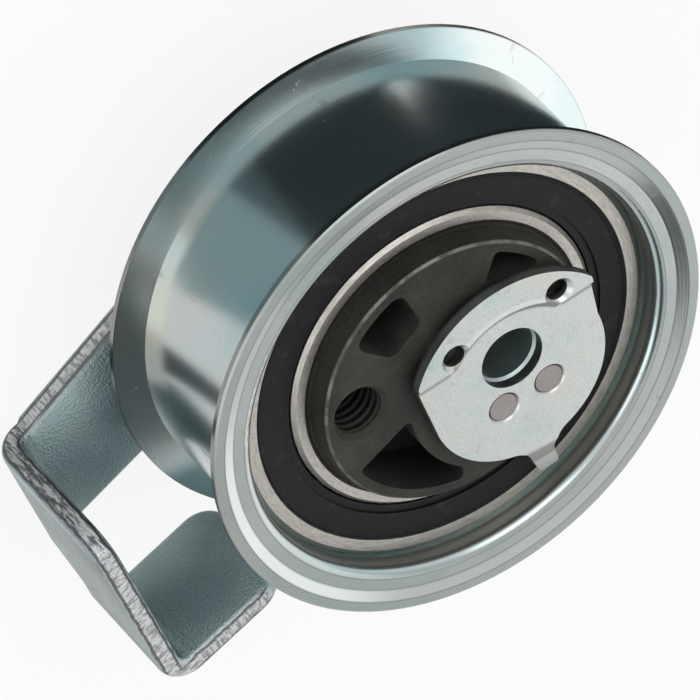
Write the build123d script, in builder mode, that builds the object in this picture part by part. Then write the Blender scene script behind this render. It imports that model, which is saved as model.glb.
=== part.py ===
from build123d import *
from math import atan2, cos, degrees, radians, sin
import os

# Timing belt tensioner: a flanged pulley on an eccentric hub, sprung against a folded bracket.
# The origin is the bolt axis at the bracket's back face, and +Z runs along that axis to the front.

# Sheet of the bracket
sheet_t = 3.0
bend_r = 1.5

# Bolt sleeve and its eccentric
bolt_hole_r = 4.2
bolt_hole_chamfer = 0.4
eccentric_r = 9.2
eccentric_x = -0.7
eccentric_y = -3.4
neck_r = 6.0
flare_r = 7.4
flare_depth = 1.4
turn_clearance = 0.05
face_clearance = 0.1

# Place of the pulley axis
pulley_x = -6.4
pulley_y = 2.9

# Pulley
flange_height = 4.0
shell_wall = 2.0
pulley_width = 26.6
flange_land = 1.0
groove_inset = 2.3
bearing_recess = 4.0
lip_fillet_r = 1.3
rim_ring = 1.55
step_ring = 3.1
step_depth = 0.55
rim_chamfer = 0.25
pulley_gap = 12.0

# Bearing
ring_bore_r = 20.0
inner_ring_t = 2.2
race_gap = 5.3
outer_ring_t = 2.5
race_depth = 0.65
inner_ring_chamfer = 0.5
outer_ring_chamfer = 0.9
ball_count = 14
race_clearance = 0.08
seal_t = 1.2
seal_recess = 0.2
seal_lip_gap = 0.3
seal_lip = 1.4
seal_step = 0.35
seal_snap = 0.4
cage_wall = 2.4
cage_width = 8.6
cage_clearance = 0.15

# Eccentric hub
boss_relief = 0.4
boss_taper = 0.3
boss_height = 3.25
boss_chamfer = 0.35
shoulder_relief = 0.4
shoulder_t = 2.5
spring_plate_r = 18.5
spring_plate_t = 2.3
spring_boss_wall = 2.75
bush_wall = 0.6
bush_inset = 0.2
washer_front_gap = 0.5
washer_rear_gap = 0.8
washer_front_width = 2.25
tapped_r = 3.4
tapped_depth = 12.0
tapped_chamfer = 0.7
tapped_reach = 14.2
tapped_angle = 154.4
window_wall = 1.6
window_corner = 1.6
bore_wall_r = 15.0
deep_window_inner_r = 10.8
deep_window_from = 88.0
deep_window_to = 118.5
deep_window_depth = 14.0
wide_window_from = -173.5
wide_window_to = -116.0
wide_window_depth = 9.0
part_window_from = 8.0
part_window_to = 42.0
window_root_r = 5.0

# Front plate
plate_t = 1.5
plate_lap = 3.7
plate_hole_gap = 0.3
ridge_outer_r = 16.1
ridge_inner_r = 10.4
ridge_slope = 1.1
ridge_rise = 0.9
ridge_chord = 7.0
ridge_chord_angle = 76.8
crown_from = 21.0
crown_to = 134.5
crown_right_foot = -5.0
crown_left_foot = 169.0
crown_corner_r = 0.9
spanner_hole_r = 1.55
spanner_rim = 0.55
spanner_1 = (9.8, 4.3)
spanner_2 = (-5.7, 7.8)
rivet_r = 2.0
rivet_1 = (2.1, -7.8)
rivet_2 = (-4.7, -6.1)
rivet_depth = 8.0
rivet_sink = 0.2
rivet_rim = 0.35
tab_slope = 22.0
tab_bend_angle = -110.4
tab_bend_x = -4.45
tab_bend_y = -16.1
tab_root_left_x = -6.1
tab_root_right_x = -2.0
tab_end_left = (-5.9, -23.0)
tab_end_right = (-3.1, -23.4)
tab_root_y = -11.0
tab_root_r = 3.4
tab_tip_r = 0.5

# Torsion spring
wire_r = 1.4
coil_r = 15.4
coil_turns = 2.5
spring_seat_gap = 0.2
leg_angle = -75.0
leg_end_r = 25.0
tang_length = 2.4
tang_clearance = 0.15

# Bracket outline
disc_r = 19.5
arm_end_x = -53.4
arm_top_y = 7.4
arm_width = 18.5
arm_top_slope = 11.0
arm_bottom_slope = 5.4
arm_join_x = -5.0
arm_fillet_r = 8.0
web_yaw = 7.0
web_length = 26.8
web_height = 24.3
flange_yaw = 1.4
flange_length = 17.35
flange_low = 5.5
corner_r = 4.5
lug_inner_r = 20.8
lug_outer_r = 26.0
lug_reach = 14.0
lug_height = 8.0
lug_gap = 0.25

# How near a corner lies to a circle to count as on it
pick_tolerance = 0.01

os.makedirs("parts", exist_ok=True)

# Levels along the bolt axis
pulley_back = sheet_t + pulley_gap
pulley_front = pulley_back + pulley_width
pulley_mid = (pulley_back + pulley_front) / 2
bearing_back = pulley_back + bearing_recess
bearing_front = pulley_front - bearing_recess
hub_back = sheet_t + washer_rear_gap
hub_front = bearing_front + boss_height
plate_back = hub_front + washer_front_gap
plate_front = plate_back + plate_t
shoulder_back = bearing_back - shoulder_t
spring_plate_back = shoulder_back - spring_plate_t
inner_shoulder_r = ring_bore_r + inner_ring_t
outer_shoulder_r = inner_shoulder_r + race_gap
bearing_seat_r = outer_shoulder_r + outer_ring_t
groove_r = bearing_seat_r + shell_wall
flange_r = groove_r + flange_height
ball_r = race_gap / 2 + race_depth
boss_r = ring_bore_r - boss_relief
boss_top_r = boss_r - boss_taper
window_outer_r = boss_top_r - window_wall
shoulder_r = inner_shoulder_r - shoulder_relief
plate_r = eccentric_r + plate_lap
plate_hole_r = bolt_hole_r + plate_hole_gap
bush_inner_r = eccentric_r + turn_clearance
bush_outer_r = bush_inner_r + bush_wall
spring_boss_r = bush_outer_r + spring_boss_wall
washer_front_r = bush_inner_r + washer_front_width
neck_hole_r = neck_r + turn_clearance
pitch_r = (inner_shoulder_r + outer_shoulder_r) / 2
race_r = ball_r + race_clearance

eccentric_axis = (eccentric_x, eccentric_y)
pulley_axis = (pulley_x, pulley_y)
pulley_line = Axis((pulley_x, pulley_y, 0), (0, 0, 1))
pulley_section = Plane(origin=(pulley_x, pulley_y, 0), x_dir=(1, 0, 0), z_dir=(0, -1, 0))
bolt_section = Plane(origin=(0, 0, 0), x_dir=(1, 0, 0), z_dir=(0, -1, 0))


def polar(radius, angle, centre):
    """A point at a radius and an angle in degrees about a centre."""
    turn = radians(angle)
    return (centre[0] + radius * cos(turn), centre[1] + radius * sin(turn))


def on_circle(corner, radius, centre):
    """True for a sketch corner that lies on a circle about a centre."""
    return abs(corner.distance_to(Vertex(centre[0], centre[1], 0)) - radius) < pick_tolerance


def sector_outline(inner, outer, start, end, centre):
    """The closed outline of a ring sector about a centre."""
    middle = (start + end) / 2
    Line(polar(inner, start, centre), polar(outer, start, centre))
    ThreePointArc(polar(outer, start, centre), polar(outer, middle, centre), polar(outer, end, centre))
    Line(polar(outer, end, centre), polar(inner, end, centre))
    ThreePointArc(polar(inner, end, centre), polar(inner, middle, centre), polar(inner, start, centre))


def save(piece, label):
    """Names a finished piece and writes its file."""
    piece.label = label
    export_step(piece, f"parts/{label}.step")


# Bracket, base plate: the eye disc and the arm that runs out to the web
arm_bottom_y = arm_top_y - arm_width
arm_run = arm_join_x - arm_end_x
arm_join_top = (arm_join_x, arm_top_y + arm_run * sin(radians(arm_top_slope)) / cos(radians(arm_top_slope)))
arm_join_low = (arm_join_x, arm_bottom_y + arm_run * sin(radians(arm_bottom_slope)))

# Bracket, web: its inner face runs from the arm's upper corner, a little askew
web_start = (arm_end_x, arm_top_y)
web_way = (-sin(radians(web_yaw)), -cos(radians(web_yaw)))
web_inward = (cos(radians(web_yaw)), -sin(radians(web_yaw)))
web_section = Plane(
    origin=(arm_end_x, arm_top_y, 0),
    x_dir=(web_inward[0], web_inward[1], 0),
    z_dir=(web_way[0], web_way[1], 0),
)
web_side = Plane(
    origin=(arm_end_x, arm_top_y, 0),
    x_dir=(web_way[0], web_way[1], 0),
    z_dir=(-web_inward[0], -web_inward[1], 0),
)
bend_top = sheet_t + bend_r
bend_outer_r = bend_r + sheet_t
arm_corner_top = (arm_end_x + bend_r * web_inward[0], arm_top_y + bend_r * web_inward[1])
arm_corner_low = (
    arm_corner_top[0] + arm_width * web_way[0],
    arm_corner_top[1] + arm_width * web_way[1],
)
strip_start = (web_start[0] - sheet_t / 2 * web_inward[0], web_start[1] - sheet_t / 2 * web_inward[1])
strip_length = web_length + sheet_t / 2
strip_corner = (strip_start[0] + strip_length * web_way[0], strip_start[1] + strip_length * web_way[1])
strip_end = polar(flange_length + sheet_t / 2, flange_yaw, strip_corner)

# Bracket, stop lug: bent up beside the spring's lower leg
lug_section = Plane(
    origin=(*polar(lug_outer_r, leg_angle, eccentric_axis), 0),
    x_dir=(sin(radians(leg_angle)), -cos(radians(leg_angle)), 0),
    z_dir=(-cos(radians(leg_angle)), -sin(radians(leg_angle)), 0),
)
lug_plan = Plane(
    origin=(eccentric_x, eccentric_y, 0),
    x_dir=(cos(radians(leg_angle)), sin(radians(leg_angle)), 0),
    z_dir=(0, 0, 1),
)
lug_near = wire_r + lug_gap
lug_far = lug_near + sheet_t + bend_r
lug_length = lug_outer_r - lug_inner_r

with BuildPart() as bracket:
    with BuildSketch(Plane.XY) as base_outline:
        Circle(disc_r)
        with BuildLine():
            Polyline(arm_corner_top, arm_corner_low, arm_join_low, arm_join_top, close=True)
        make_face()
        joins = base_outline.vertices().filter_by(lambda v: on_circle(v, disc_r, (0, 0)))
        fillet(joins.sort_by(Axis.X)[:2], radius=arm_fillet_r)
    extrude(amount=sheet_t)
    with BuildSketch(lug_plan):
        with BuildLine():
            Polyline(
                (lug_reach, -lug_far),
                (lug_outer_r, -lug_far),
                (lug_outer_r, -lug_far - bend_outer_r),
                (lug_reach, -lug_far - bend_outer_r),
                close=True,
            )
        make_face()
    extrude(amount=sheet_t)
    with BuildSketch(lug_section):
        with BuildLine():
            sector_outline(bend_r, bend_outer_r, 180, 270, (lug_far, bend_top))
        make_face()
        with Locations((lug_near + sheet_t / 2, (bend_top + lug_height) / 2)):
            Rectangle(sheet_t, lug_height - bend_top)
    extrude(amount=lug_length)
    with BuildSketch(web_section):
        with BuildLine():
            sector_outline(bend_r, bend_outer_r, 180, 270, (bend_r, bend_top))
        make_face()
    extrude(amount=arm_width)
    with BuildSketch(Plane.XY.offset(bend_top)):
        with BuildLine():
            web_path = FilletPolyline(strip_start, strip_corner, strip_end, radius=bend_r + sheet_t / 2)
        trace(web_path, line_width=sheet_t)
    extrude(amount=web_height - bend_r)
    with BuildSketch(web_side):
        with BuildLine():
            Polyline(
                (arm_width, 0),
                (arm_width, bend_top),
                (web_length - bend_outer_r, sheet_t + flange_low),
                (web_length + bend_outer_r, sheet_t + flange_low),
                (web_length + bend_outer_r, 0),
                close=True,
            )
        make_face()
    extrude(amount=flange_length + bend_outer_r, both=True, mode=Mode.SUBTRACT)
    web_top = sheet_t + web_height
    free_corners = [
        bracket.edges().sort_by_distance((*strip_start, web_top))[0],
        bracket.edges().sort_by_distance((*strip_end, web_top))[0],
        bracket.edges().sort_by_distance((*strip_end, sheet_t + flange_low))[0],
    ]
    fillet(free_corners, radius=corner_r)
    with Locations((0, 0)):
        CounterSinkHole(neck_hole_r, flare_r + turn_clearance, depth=sheet_t)
save(bracket.part, "bracket")

# Sleeve with its off-centre outer diameter, riveted head plate and flared rear neck
with BuildPart() as adjusting_eccentric:
    sleeve_back = sheet_t + face_clearance
    with BuildSketch(Plane.XY.offset(sleeve_back)):
        with Locations(eccentric_axis):
            Circle(eccentric_r)
    extrude(amount=plate_back - sleeve_back)
    with BuildSketch(bolt_section):
        with BuildLine():
            Polyline(
                (0, face_clearance),
                (flare_r - face_clearance, face_clearance),
                (neck_r, flare_depth),
                (neck_r, sleeve_back),
                (0, sleeve_back),
                close=True,
            )
        make_face()
    revolve(axis=Axis.Z)
    with BuildSketch(Plane.XY.offset(plate_back)):
        with Locations(rivet_1, rivet_2):
            Circle(rivet_r)
    extrude(amount=-rivet_depth, mode=Mode.SUBTRACT)
    with BuildSketch(Plane.XY):
        Circle(bolt_hole_r)
    extrude(amount=plate_front, mode=Mode.SUBTRACT)
    bolt_rims = adjusting_eccentric.edges().filter_by(GeomType.CIRCLE).filter_by(
        lambda e: abs(e.radius - bolt_hole_r) < turn_clearance
    )
    chamfer(bolt_rims, length=bolt_hole_chamfer)
save(adjusting_eccentric.part, "adjusting_eccentric")

# Outline of the head plate seen from the front, its pointer tab included
with BuildSketch() as plate_outline:
    with BuildLine():
        crown_left_low = polar(plate_r, crown_left_foot, eccentric_axis)
        crown_left_top = polar(ridge_outer_r, crown_to, eccentric_axis)
        crown_right_top = polar(ridge_outer_r, crown_from, eccentric_axis)
        crown_right_low = polar(plate_r, crown_right_foot, eccentric_axis)
        crown_top = polar(ridge_outer_r, (crown_from + crown_to) / 2, eccentric_axis)
        Line(crown_left_low, crown_left_top)
        ThreePointArc(crown_left_top, crown_top, crown_right_top)
        Line(crown_right_top, crown_right_low)
        ThreePointArc(crown_right_low, polar(plate_r, -90, eccentric_axis), crown_left_low)
    make_face()
    crown_corners = plate_outline.vertices().sort_by(Axis.Y)[-2:]
    fillet(crown_corners, radius=crown_corner_r)
    with BuildLine():
        Polyline(
            (tab_root_left_x, tab_root_y),
            tab_end_left,
            tab_end_right,
            (tab_root_right_x, tab_root_y),
            close=True,
        )
    make_face()
    tab_roots = plate_outline.vertices().filter_by(
        lambda v: v.Y < tab_root_y and on_circle(v, plate_r, eccentric_axis)
    )
    fillet(tab_roots, radius=tab_root_r)
    fillet(plate_outline.vertices().sort_by(Axis.Y)[:2], radius=tab_tip_r)

# Line that the pointer tab is bent along, and the tilt of the tab behind it
tab_way = (cos(radians(tab_bend_angle)), sin(radians(tab_bend_angle)))
tab_plane = Plane(
    origin=(tab_bend_x, tab_bend_y, plate_front),
    x_dir=(-tab_way[1], tab_way[0], 0),
    z_dir=(
        tab_way[0] * sin(radians(tab_slope)),
        tab_way[1] * sin(radians(tab_slope)),
        cos(radians(tab_slope)),
    ),
)
bend_plane = Plane(
    origin=(tab_bend_x, tab_bend_y, plate_back),
    x_dir=(-tab_way[1], tab_way[0], 0),
    z_dir=(0, 0, 1),
)

with BuildPart() as pointer_tab:
    with BuildSketch(tab_plane):
        Rectangle(plate_r, plate_r, align=(Align.CENTER, Align.MAX))
    extrude(amount=-plate_t)
    with BuildSketch(Plane.XY.offset(bearing_front)):
        add(plate_outline.sketch)
    extrude(amount=plate_front - bearing_front, mode=Mode.INTERSECT)

# Raised crescent of the head plate, and the matching hollow pressed in from behind
ridge_taper = degrees(atan2(ridge_slope, ridge_rise))
chord_normal = polar(ridge_chord, ridge_chord_angle, eccentric_axis)
with BuildSketch() as ridge_outline:
    with Locations(eccentric_axis):
        Circle(2 * ridge_outer_r)
        Circle(ridge_inner_r, mode=Mode.SUBTRACT)
    with Locations(Location((chord_normal[0], chord_normal[1], 0), (0, 0, ridge_chord_angle - 90))):
        Rectangle(5 * ridge_outer_r, 4 * ridge_outer_r, align=(Align.CENTER, Align.MAX), mode=Mode.SUBTRACT)

with BuildPart() as ridge_top:
    with BuildSketch(Plane.XY.offset(plate_front)):
        add(ridge_outline.sketch)
    extrude(amount=ridge_rise, taper=ridge_taper)
    with BuildSketch(Plane.XY.offset(plate_front)):
        add(plate_outline.sketch)
    extrude(amount=ridge_rise, mode=Mode.INTERSECT)

with BuildPart() as ridge_hollow:
    with BuildSketch(Plane.XY.offset(plate_back)):
        add(ridge_outline.sketch)
    extrude(amount=ridge_rise, taper=ridge_taper)

with BuildPart() as adjusting_plate:
    with BuildSketch(Plane.XY.offset(plate_back)):
        add(plate_outline.sketch)
    extrude(amount=plate_t)
    with BuildSketch(bend_plane):
        Rectangle(2 * plate_r, plate_r, align=(Align.CENTER, Align.MAX))
    extrude(amount=plate_t, mode=Mode.SUBTRACT)
    add(ridge_hollow.part, mode=Mode.SUBTRACT)
    add(ridge_top.part)
    add(pointer_tab.part)
    with Locations((0, 0, plate_front)):
        Hole(plate_hole_r, depth=plate_t)
    with Locations((*rivet_1, plate_front), (*rivet_2, plate_front)):
        CounterSinkHole(rivet_r, rivet_r + rivet_rim, depth=plate_t)
    with Locations((*spanner_1, plate_front + ridge_rise), (*spanner_2, plate_front + ridge_rise)):
        CounterSinkHole(spanner_hole_r, spanner_hole_r + spanner_rim, depth=plate_t + ridge_rise)
save(adjusting_plate.part, "adjusting_plate")

# Rivets that hold the head plate on the sleeve
with BuildPart() as plate_rivet_1:
    with BuildSketch(Plane.XY.offset(plate_front - rivet_sink)):
        with Locations(rivet_1):
            Circle(rivet_r)
    extrude(amount=rivet_sink - plate_t - rivet_depth)
save(plate_rivet_1.part, "plate_rivet_1")

with BuildPart() as plate_rivet_2:
    with BuildSketch(Plane.XY.offset(plate_front - rivet_sink)):
        with Locations(rivet_2):
            Circle(rivet_r)
    extrude(amount=rivet_sink - plate_t - rivet_depth)
save(plate_rivet_2.part, "plate_rivet_2")

# Thrust washers in front of and behind the hub
with BuildPart() as thrust_washer_front:
    with BuildSketch(Plane.XY.offset(hub_front + face_clearance)):
        with Locations(eccentric_axis):
            Circle(washer_front_r)
            Circle(bush_inner_r, mode=Mode.SUBTRACT)
    extrude(amount=washer_front_gap - face_clearance)
save(thrust_washer_front.part, "thrust_washer_front")

with BuildPart() as thrust_washer_rear:
    with BuildSketch(Plane.XY.offset(sleeve_back)):
        with Locations(eccentric_axis):
            Circle(spring_boss_r)
            Circle(eccentric_r, mode=Mode.SUBTRACT)
    extrude(amount=washer_rear_gap - 2 * face_clearance)
save(thrust_washer_rear.part, "thrust_washer_rear")

# Hub that carries the bearing off-centre, with its spring seat behind
with BuildPart() as eccentric_hub:
    with BuildSketch(pulley_section):
        with BuildLine():
            Polyline(
                (0, shoulder_back),
                (shoulder_r, shoulder_back),
                (shoulder_r, bearing_back),
                (ring_bore_r, bearing_back),
                (ring_bore_r, bearing_front),
                (boss_r, bearing_front),
                (boss_top_r, hub_front - boss_chamfer),
                (boss_top_r - boss_chamfer, hub_front),
                (0, hub_front),
                close=True,
            )
        make_face()
    revolve(axis=pulley_line)
    with BuildSketch(Plane.XY.offset(spring_plate_back)):
        with Locations(eccentric_axis):
            Circle(spring_plate_r)
    extrude(amount=spring_plate_t)
    with BuildSketch(Plane.XY.offset(hub_back)):
        with Locations(eccentric_axis):
            Circle(spring_boss_r)
    extrude(amount=spring_plate_back - hub_back)
    with BuildSketch(Plane.XY.offset(hub_front)) as deep_window:
        with BuildLine():
            sector_outline(deep_window_inner_r, window_outer_r, deep_window_from, deep_window_to, pulley_axis)
        make_face()
        fillet(deep_window.vertices(), radius=window_corner)
    extrude(amount=-deep_window_depth, mode=Mode.SUBTRACT)
    with BuildSketch(Plane.XY.offset(hub_front)) as wide_window:
        with BuildLine():
            sector_outline(window_root_r, window_outer_r, wide_window_from, wide_window_to, pulley_axis)
        make_face()
        with Locations(eccentric_axis):
            Circle(bore_wall_r, mode=Mode.SUBTRACT)
        fillet(wide_window.vertices(), radius=window_corner / 2)
    extrude(amount=-wide_window_depth, mode=Mode.SUBTRACT)
    with BuildSketch(Plane.XY.offset(hub_front)) as part_window:
        with BuildLine():
            sector_outline(window_root_r, window_outer_r, part_window_from, part_window_to, pulley_axis)
        make_face()
        with Locations(eccentric_axis):
            Circle(bore_wall_r, mode=Mode.SUBTRACT)
        fillet(part_window.vertices(), radius=window_corner / 2)
    extrude(amount=-wide_window_depth, mode=Mode.SUBTRACT)
    with Locations((*polar(tapped_reach, tapped_angle, pulley_axis), hub_front)):
        CounterSinkHole(tapped_r, tapped_r + tapped_chamfer, depth=tapped_depth)
    with Locations((*polar(coil_r, leg_angle + 360 * coil_turns, eccentric_axis), shoulder_back)):
        Hole(wire_r + tang_clearance, depth=spring_plate_t)
    with BuildSketch(Plane.XY.offset(hub_back)):
        with Locations(eccentric_axis):
            Circle(bush_outer_r)
    extrude(amount=hub_front - hub_back, mode=Mode.SUBTRACT)
save(eccentric_hub.part, "eccentric_hub")

# Plain bush pressed into the hub
with BuildPart() as plain_bush:
    with BuildSketch(Plane.XY.offset(hub_back + bush_inset)):
        with Locations(eccentric_axis):
            Circle(bush_outer_r)
            Circle(bush_inner_r, mode=Mode.SUBTRACT)
    extrude(amount=hub_front - hub_back - 2 * bush_inset)
save(plain_bush.part, "plain_bush")

# Torsion spring: radial lower leg, coils, and an axial tang into the hub
coil_low = sheet_t + spring_seat_gap + wire_r
coil_high = spring_plate_back - spring_seat_gap - wire_r
coil_rise = coil_high - coil_low
coil_pitch = coil_rise / coil_turns
coil_plane = Plane(
    origin=(eccentric_x, eccentric_y, coil_low),
    x_dir=(cos(radians(leg_angle)), sin(radians(leg_angle)), 0),
    z_dir=(0, 0, 1),
)
coil_end = (*polar(coil_r, leg_angle + 360 * coil_turns, eccentric_axis), coil_high)
coil_start = (*polar(coil_r, leg_angle, eccentric_axis), coil_low)
with BuildPart() as torsion_spring:
    with BuildLine(coil_plane):
        coil = Helix(coil_pitch, coil_rise, coil_r)
    with BuildSketch(Plane(origin=coil @ 0, z_dir=coil % 0)):
        Circle(wire_r)
    sweep(path=coil, is_frenet=True)
    with Locations(coil_start, coil_end):
        Sphere(wire_r)
    with BuildSketch(Plane(origin=coil_start, z_dir=(*polar(1, leg_angle, (0, 0)), 0))):
        Circle(wire_r)
    extrude(amount=leg_end_r - coil_r)
    with BuildSketch(Plane.XY.offset(coil_high)):
        with Locations(polar(coil_r, leg_angle + 360 * coil_turns, eccentric_axis)):
            Circle(wire_r)
    extrude(amount=wire_r + spring_seat_gap + tang_length - face_clearance)
save(torsion_spring.part, "torsion_spring")

# Bearing inner ring, pressed on the hub
with BuildPart() as bearing_inner_ring:
    with BuildSketch(pulley_section) as inner_ring_profile:
        with BuildLine():
            Polyline(
                (inner_shoulder_r, bearing_back),
                (ring_bore_r, bearing_back),
                (ring_bore_r, bearing_front),
                (inner_shoulder_r, bearing_front),
                close=True,
            )
        make_face()
        chamfer(inner_ring_profile.vertices(), length=inner_ring_chamfer)
        with Locations((pitch_r, pulley_mid)):
            Circle(race_r, mode=Mode.SUBTRACT)
    revolve(axis=pulley_line)
save(bearing_inner_ring.part, "bearing_inner_ring")

# Bearing outer ring, with a snap groove for each seal
seal_front_z = bearing_front - seal_recess
seal_back_z = bearing_back + seal_recess
with BuildPart() as bearing_outer_ring:
    with BuildSketch(pulley_section) as outer_ring_profile:
        with BuildLine():
            Polyline(
                (outer_shoulder_r, bearing_back),
                (bearing_seat_r, bearing_back),
                (bearing_seat_r, bearing_front),
                (outer_shoulder_r, bearing_front),
                close=True,
            )
        make_face()
        chamfer(outer_ring_profile.vertices().sort_by(Axis.X)[-2:], length=outer_ring_chamfer)
        with Locations((pitch_r, pulley_mid)):
            Circle(race_r, mode=Mode.SUBTRACT)
        with Locations((outer_shoulder_r, seal_back_z + seal_t), (outer_shoulder_r, seal_front_z)):
            Rectangle(2 * seal_snap, seal_t, align=(Align.CENTER, Align.MAX), mode=Mode.SUBTRACT)
    revolve(axis=pulley_line)
save(bearing_outer_ring.part, "bearing_outer_ring")

# Rubber seals, snapped into the outer ring and just clear of the inner ring
seal_inner_r = inner_shoulder_r + seal_lip_gap
seal_lip_r = inner_shoulder_r + seal_lip
seal_outer_r = outer_shoulder_r + seal_snap
with BuildPart() as seal_front:
    with BuildSketch(pulley_section):
        with BuildLine():
            Polyline(
                (seal_inner_r, seal_front_z - seal_t),
                (seal_outer_r, seal_front_z - seal_t),
                (seal_outer_r, seal_front_z),
                (seal_lip_r, seal_front_z),
                (seal_lip_r, seal_front_z - seal_step),
                (seal_inner_r, seal_front_z - seal_step),
                close=True,
            )
        make_face()
    revolve(axis=pulley_line)
save(seal_front.part, "seal_front")

with BuildPart() as seal_rear:
    with BuildSketch(pulley_section):
        with BuildLine():
            Polyline(
                (seal_inner_r, seal_back_z + seal_t),
                (seal_outer_r, seal_back_z + seal_t),
                (seal_outer_r, seal_back_z),
                (seal_lip_r, seal_back_z),
                (seal_lip_r, seal_back_z + seal_step),
                (seal_inner_r, seal_back_z + seal_step),
                close=True,
            )
        make_face()
    revolve(axis=pulley_line)
save(seal_rear.part, "seal_rear")

# Balls, and the cage that spaces them
with BuildPart() as ball_cage:
    with BuildSketch(Plane.XY.offset(pulley_mid - cage_width / 2)):
        with Locations(pulley_axis):
            Circle(pitch_r + cage_wall / 2)
            Circle(pitch_r - cage_wall / 2, mode=Mode.SUBTRACT)
    extrude(amount=cage_width)
    with Locations((pulley_x, pulley_y, pulley_mid)):
        with PolarLocations(pitch_r, ball_count):
            Cylinder(ball_r + cage_clearance, 2 * cage_wall, rotation=(0, 90, 0), mode=Mode.SUBTRACT)
save(ball_cage.part, "ball_cage")

for number in range(ball_count):
    with BuildPart() as ball:
        with Locations((*polar(pitch_r, 360 / ball_count * number, pulley_axis), pulley_mid)):
            Sphere(ball_r)
    save(ball.part, f"ball_{number + 1:02d}")

# Belt pulley: one half turned, then mirrored about its middle plane
with BuildPart() as pulley_shell:
    with BuildSketch(pulley_section):
        with BuildLine():
            lip_low = (bearing_seat_r, pulley_front - step_depth - lip_fillet_r)
            lip_top = (bearing_seat_r + lip_fillet_r, pulley_front - step_depth)
            Polyline(
                lip_top,
                (flange_r - step_ring, pulley_front - step_depth),
                (flange_r - rim_ring, pulley_front),
                (flange_r - rim_chamfer, pulley_front),
                (flange_r, pulley_front - rim_chamfer),
                (flange_r, pulley_front - flange_land),
                (groove_r, pulley_front - groove_inset),
                (groove_r, pulley_mid),
                (bearing_seat_r, pulley_mid),
                lip_low,
            )
            RadiusArc(lip_low, lip_top, lip_fillet_r)
        make_face()
    revolve(axis=pulley_line)
    mirror(about=Plane.XY.offset(pulley_mid))
save(pulley_shell.part, "pulley_shell")
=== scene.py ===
"""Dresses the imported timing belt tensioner: plated, ground and phosphated steel, rubber and the studio."""
import math

import bmesh
import bpy
from mathutils import Matrix, Vector


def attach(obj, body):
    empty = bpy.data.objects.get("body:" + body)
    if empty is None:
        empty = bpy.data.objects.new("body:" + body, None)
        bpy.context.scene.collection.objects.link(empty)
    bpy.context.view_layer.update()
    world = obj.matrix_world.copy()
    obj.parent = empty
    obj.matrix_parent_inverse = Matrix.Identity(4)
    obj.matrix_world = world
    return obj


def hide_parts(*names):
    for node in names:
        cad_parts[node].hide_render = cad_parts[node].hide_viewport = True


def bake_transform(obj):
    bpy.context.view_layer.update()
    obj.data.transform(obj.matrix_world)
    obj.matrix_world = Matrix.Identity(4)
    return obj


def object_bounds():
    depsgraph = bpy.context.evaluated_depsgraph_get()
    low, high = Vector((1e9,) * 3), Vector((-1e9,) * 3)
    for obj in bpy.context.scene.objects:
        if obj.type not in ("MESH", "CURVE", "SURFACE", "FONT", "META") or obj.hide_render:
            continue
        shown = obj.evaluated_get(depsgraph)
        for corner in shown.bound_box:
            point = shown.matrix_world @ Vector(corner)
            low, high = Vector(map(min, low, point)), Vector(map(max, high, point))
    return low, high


bl_info = {
    "name": "Belt Tensioner Dressing",
    "version": (1, 0, 0),
    "blender": (4, 5, 0),
    "location": "View3D > Sidebar > Tensioner",
    "description": "Gives the belt tensioner its plated, ground and rubber finishes and a plain studio",
    "category": "Object",
}

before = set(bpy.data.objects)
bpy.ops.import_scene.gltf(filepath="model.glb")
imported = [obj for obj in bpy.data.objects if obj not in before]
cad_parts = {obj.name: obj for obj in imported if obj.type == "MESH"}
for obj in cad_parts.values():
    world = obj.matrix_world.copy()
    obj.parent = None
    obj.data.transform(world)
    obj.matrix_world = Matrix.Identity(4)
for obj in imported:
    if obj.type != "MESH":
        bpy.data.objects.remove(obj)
cad_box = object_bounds()

# Upright axes and levels of the part
PULLEY_AXIS = (-0.0064, 0.0029)
ECCENTRIC_AXIS = (-0.0007, -0.0034)
TAPPED_AXIS = (-0.019206, 0.009036)
PULLEY_MIDDLE = 0.0283

# Pulley finish: each pair is a soft edge, between two radii or two heights from the pulley's middle
RIM_RING = (0.0342, 0.0346)
RIM_TOP = (0.0131, 0.0132)
BORE_WALL = (0.0300, 0.0303)
BORE_DEEP = (0.0094, 0.0097)
OUTER_EDGE = (0.03585, 0.03595)
FLANGE_FACE = (0.0123, 0.0126)
SLOPE_FOOT = (0.03295, 0.0332)
SLOPE_TOP = (0.0342, 0.03445)

# Radii and width of thin rings of painted shade, partly dirt, at the edges in the flange's face, and the
# rim's fine waves in radians a metre
SHADED_RING_EDGES = (0.0313, 0.0329, 0.03445)
LINE_WIDTH = 0.00013
RIM_WAVES = 21000.0

# Bracket: a point on the web's inner face and one on the flange's middle plane, each with its way outwards
WEB_START = (-0.0534, 0.0074)
WEB_ACROSS = (-0.99255, 0.12187)
FLANGE_START = (-0.058338, -0.020506)
FLANGE_ACROSS = (0.02443, -0.9997)

# Line of the arm's sheared edge, the sheet's thickness and the radius inside its bends
ARM_START = (-0.0519, 0.00722)
ARM_SLOPE = 0.2047
SHEET = 0.003
BEND = 0.0015

# Rounded corner between the web's end and its top: radius, height of its centre, and soft edges
CORNER = 0.0045
CORNER_Z = 0.0228
CORNER_ARC = (0.0041, 0.0044)
CORNER_ALONG = (0.0043, 0.0047)
CORNER_UP = (0.0226, 0.0230)
CORNER_X = (-0.050, -0.048)

# Soft edges of the other sheared stretches, along x, y or z, and across the arm's line
WEB_TOP = (0.0266, 0.0271)
ARM_EDGE = (-0.0009, -0.0006)
ARM_EDGE_END = (-0.020, -0.016)
WEB_END_X = (-0.0525, -0.0515)
FLANGE_Y = (-0.0195, -0.0175)
FLANGE_X = (-0.0560, -0.0540)
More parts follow.
